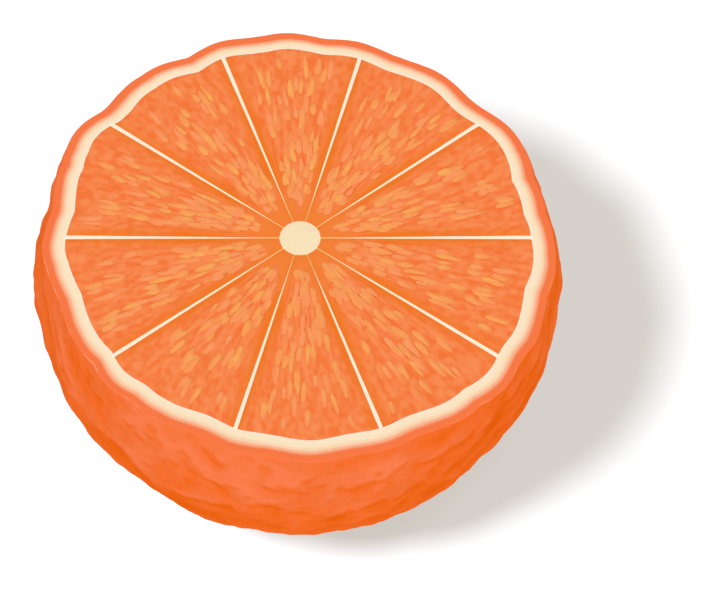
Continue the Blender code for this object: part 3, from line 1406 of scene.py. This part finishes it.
    def shaped(self, spot: CellSpot, x: float, y: float) -> tuple[float, float]:
        """Turns a point of the round cell into one of the long, bent, ragged cell.

        Args:
            spot: The cell.
            x: The point's place along the round cell, from -1 to 1.
            y: Its place across.

        Returns:
            Its places along and across the shaped cell.
        """
        uneven = 1.0
        for height, scale, shift in self.ragged_grains:
            grain = noise.noise(Vector((scale * x, scale * y, shift * spot.tint)))
            uneven += self.ragged * height * grain
        full = (1 + self.plumpness * x * x) ** 0.5 * (1 - spot.taper * x)
        across = y * full * uneven + spot.bend * (x * x - 0.5)
        return x * uneven * spot.length / 2, across * spot.width / 2

    def lay(self, tone: Tone, spots: Sequence[CellSpot], cell: Piece) -> Piece:
        """Copies the cell to every spot, draped over the flesh, and joins the copies.

        Args:
            tone: The shade of the spots.
            spots: Where the cells lie.
            cell: The cell to copy.

        Returns:
            The dressed piece.
        """
        points, faces = [], []
        stored = {"line": [], "fade": [], "tint": []}
        shape = [tuple(vertex.co) for vertex in cell.data.vertices]
        skins = [tuple(face.vertices) for face in cell.data.polygons]
        for spot in spots:
            faces.extend([len(points) + index for index in skin] for skin in skins)
            middle = toward(spot.heading, spot.radius)
            out = toward(spot.heading + spot.turn)
            side = Vector((-out.y, out.x, 0))
            for x, y, z in shape:
                ahead, across = self.shaped(spot, x, y)
                point = middle + out * ahead + side * across
                radius, turn = polar(point)
                heading = spot.span[0] + (turn - spot.span[0] + 0.5) % tau - 0.5
                ground = self.fruit.height + self.segments.lift(radius, heading, spot.span)
                point.z = ground + spot.rise + z * spot.height
                points.append(point)
                # Painted shade along the cell's edge, strongest on the side turned to the painted
                # shade's heading.
                rim = self.line.at(hypot(x, y)) if z > -0.1 else 1.0
                stored["line"].append(rim * max(cos(atan2(y, x) - spot.painted_shade_end), 0.0))
                stored["fade"].append(self.fade.at(x))
                stored["tint"].append(spot.tint)
        mesh = bpy.data.meshes.new("juice_cells_" + tone.name.lower())
        mesh.from_pydata(points, [], faces)
        piece = bpy.data.objects.new(mesh.name, mesh)
        bpy.context.scene.collection.objects.link(piece)
        note(piece, **stored)
        return dress(piece, tone.material, "flesh", angle=70)

    def build(self) -> list[Piece]:
        """Sows, models and dresses the cells.

        Returns:
            One piece for each shade.
        """
        dice = random.Random(self.seed)
        spots = []
        for span in self.segments.membranes.spans:
            for bed in (self.under, self.upper):
                spots += self.sow(span, bed, dice)
        LOG.info("%d juice cells", len(spots))
        cell = self.model_cell()
        pieces = []
        for tone in Tone:
            pieces.append(self.lay(tone, [spot for spot in spots if spot.tone is tone], cell))
        bpy.data.objects.remove(cell)
        return pieces


@dataclass(frozen=True)
class Sun:
    """A distant lamp that lights only some pieces. The wider it looks, the softer its shadows."""

    name: str
    way: Triple
    strength: float
    width: float
    color: Color = WHITE

    def hang(self, lit: Sequence[Piece]) -> None:
        """Hangs the lamp.

        Args:
            lit: The pieces that it lights.
        """
        lamp = bpy.data.lights.new(self.name, "SUN")
        lamp.energy = self.strength
        lamp.angle = radians(self.width)
        lamp.color = self.color
        sun = bpy.data.objects.new(self.name, lamp)
        bpy.context.scene.collection.objects.link(sun)
        sun.rotation_euler = Vector(self.way).to_track_quat("-Z", "Y").to_euler()
        receivers = bpy.data.collections.new(self.name + "_receivers")
        for piece in lit:
            receivers.objects.link(piece)
        sun.light_linking.receiver_collection = receivers


@dataclass
class Studio:
    """The pale floor, the soft light and the camera."""

    fruit: Fruit
    key: Sun = Sun("key_light", (0.01, 0.43, -0.9), 1.03, 30)
    floor_suns: Sequence[Sun] = (
        Sun("floor_light", (0.446, 0.337, -0.833), 39, 11.5, (0.86, 0.91, 1.0)),
        Sun("contact_light", (-0.12, 0.28, -0.95), 2.8, 12),
    )
    sky: float = 0.70
    floor_size: float = 3
    floor_color: Color = (0.05, 0.05, 0.05)
    floor_glow: Color = (1.0, 0.953, 0.884)
    floor_glow_strength: float = 0.595
    elevation: float = 56.4
    distance: float = 0.569
    lens: float = 188.65
    aim_right: float = 0.00905
    aim_down: float = 0.00898

    def build_floor(self) -> Piece:
        """Lays the floor.

        Returns:
            The floor.
        """
        bpy.ops.mesh.primitive_plane_add(size=self.floor_size, location=(0, 0, 0))
        floor = newest("studio_floor")
        sheet = Sheet("studio_white")
        values = {
            "Base Color": self.floor_color,
            "Roughness": 1.0,
            "Specular IOR Level": 0.0,
            "Emission Color": self.floor_glow,
            "Emission Strength": self.floor_glow_strength,
        }
        sheet.feed(sheet.shader, values)
        floor.data.materials.append(sheet.material)
        return floor

    def build_camera(self) -> None:
        """Sets the camera on its long lens."""
        tilt = radians(self.elevation)
        back = Vector((0, -cos(tilt), sin(tilt)))
        up = Vector((0, sin(tilt), cos(tilt)))
        top = Vector((0, 0, self.fruit.height))
        aim = top + Vector((self.aim_right, 0, 0)) - up * self.aim_down
        data = bpy.data.cameras.new("camera")
        data.lens = self.lens
        camera = bpy.data.objects.new("camera", data)
        bpy.context.scene.collection.objects.link(camera)
        camera.location = top + back * self.distance
        ahead = (aim - camera.location).normalized()
        right = (Vector((1, 0, 0)) - ahead * ahead.x).normalized()
        turn = Matrix((right, right.cross(ahead), -ahead)).transposed()
        camera.rotation_euler = turn.to_euler()
        bpy.context.scene.camera = camera

    def build(self, pieces: Sequence[Piece]) -> None:
        """Sets up the whole studio.

        Args:
            pieces: The fruit's pieces.
        """
        floor = self.build_floor()
        self.key.hang(pieces)
        for sun in self.floor_suns:
            sun.hang([floor])
        self.build_camera()
        bpy.context.scene.world = world = bpy.data.worlds.new("studio_air")
        world.use_nodes = True
        air = world.node_tree.nodes["Background"]
        air.inputs["Color"].default_value = (*WHITE, 1)
        air.inputs["Strength"].default_value = self.sky
        bpy.context.scene.view_settings.view_transform = "Standard"


def wall_headings() -> list[float]:
    """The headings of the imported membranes, in the order of their names.

    Returns:
        The headings of the middle of the top edge of each membrane's far end.
    """
    headings = []
    for name in sorted(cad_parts):
        if name.startswith("membrane_"):
            low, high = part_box(name)
            out = Vector(((low.x + high.x) / 2, (low.y + high.y) / 2, 0)).normalized()
            side = Vector((-out.y, out.x, 0))
            points = [vertex.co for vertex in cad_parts[name].data.vertices]
            edge = [point for point in points if point.z > high.z - THIN]
            far = max(point.dot(out) for point in edge)
            across = [point.dot(side) for point in edge if point.dot(out) > far * 0.97]
            middle = out * far + side * (min(across) + max(across)) / 2
            headings.append(polar(middle)[1] % tau)
    return headings


def main() -> None:
    """Builds the orange half and its studio, piece by piece."""
    logging.basicConfig(level=logging.INFO, format="%(name)s: %(message)s")
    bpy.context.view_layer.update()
    low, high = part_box("core")
    fruit = Fruit(height=high.z, core=(high.x - low.x) / 2 + NODE_GAP / 2, core_foot=low.z)
    membranes = Membranes(fruit, wall_headings())
    segments = Segments(fruit, membranes)
    pieces = [*Rind(fruit).build(), Core(fruit).build(), *membranes.build(), *segments.build()]
    pieces += JuiceCells(fruit, segments).build()
    for piece in pieces:
        LOG.info("%s: %d faces", piece.name, len(piece.data.polygons))
    Studio(fruit).build(pieces)


if __name__ == "__main__":
    main()
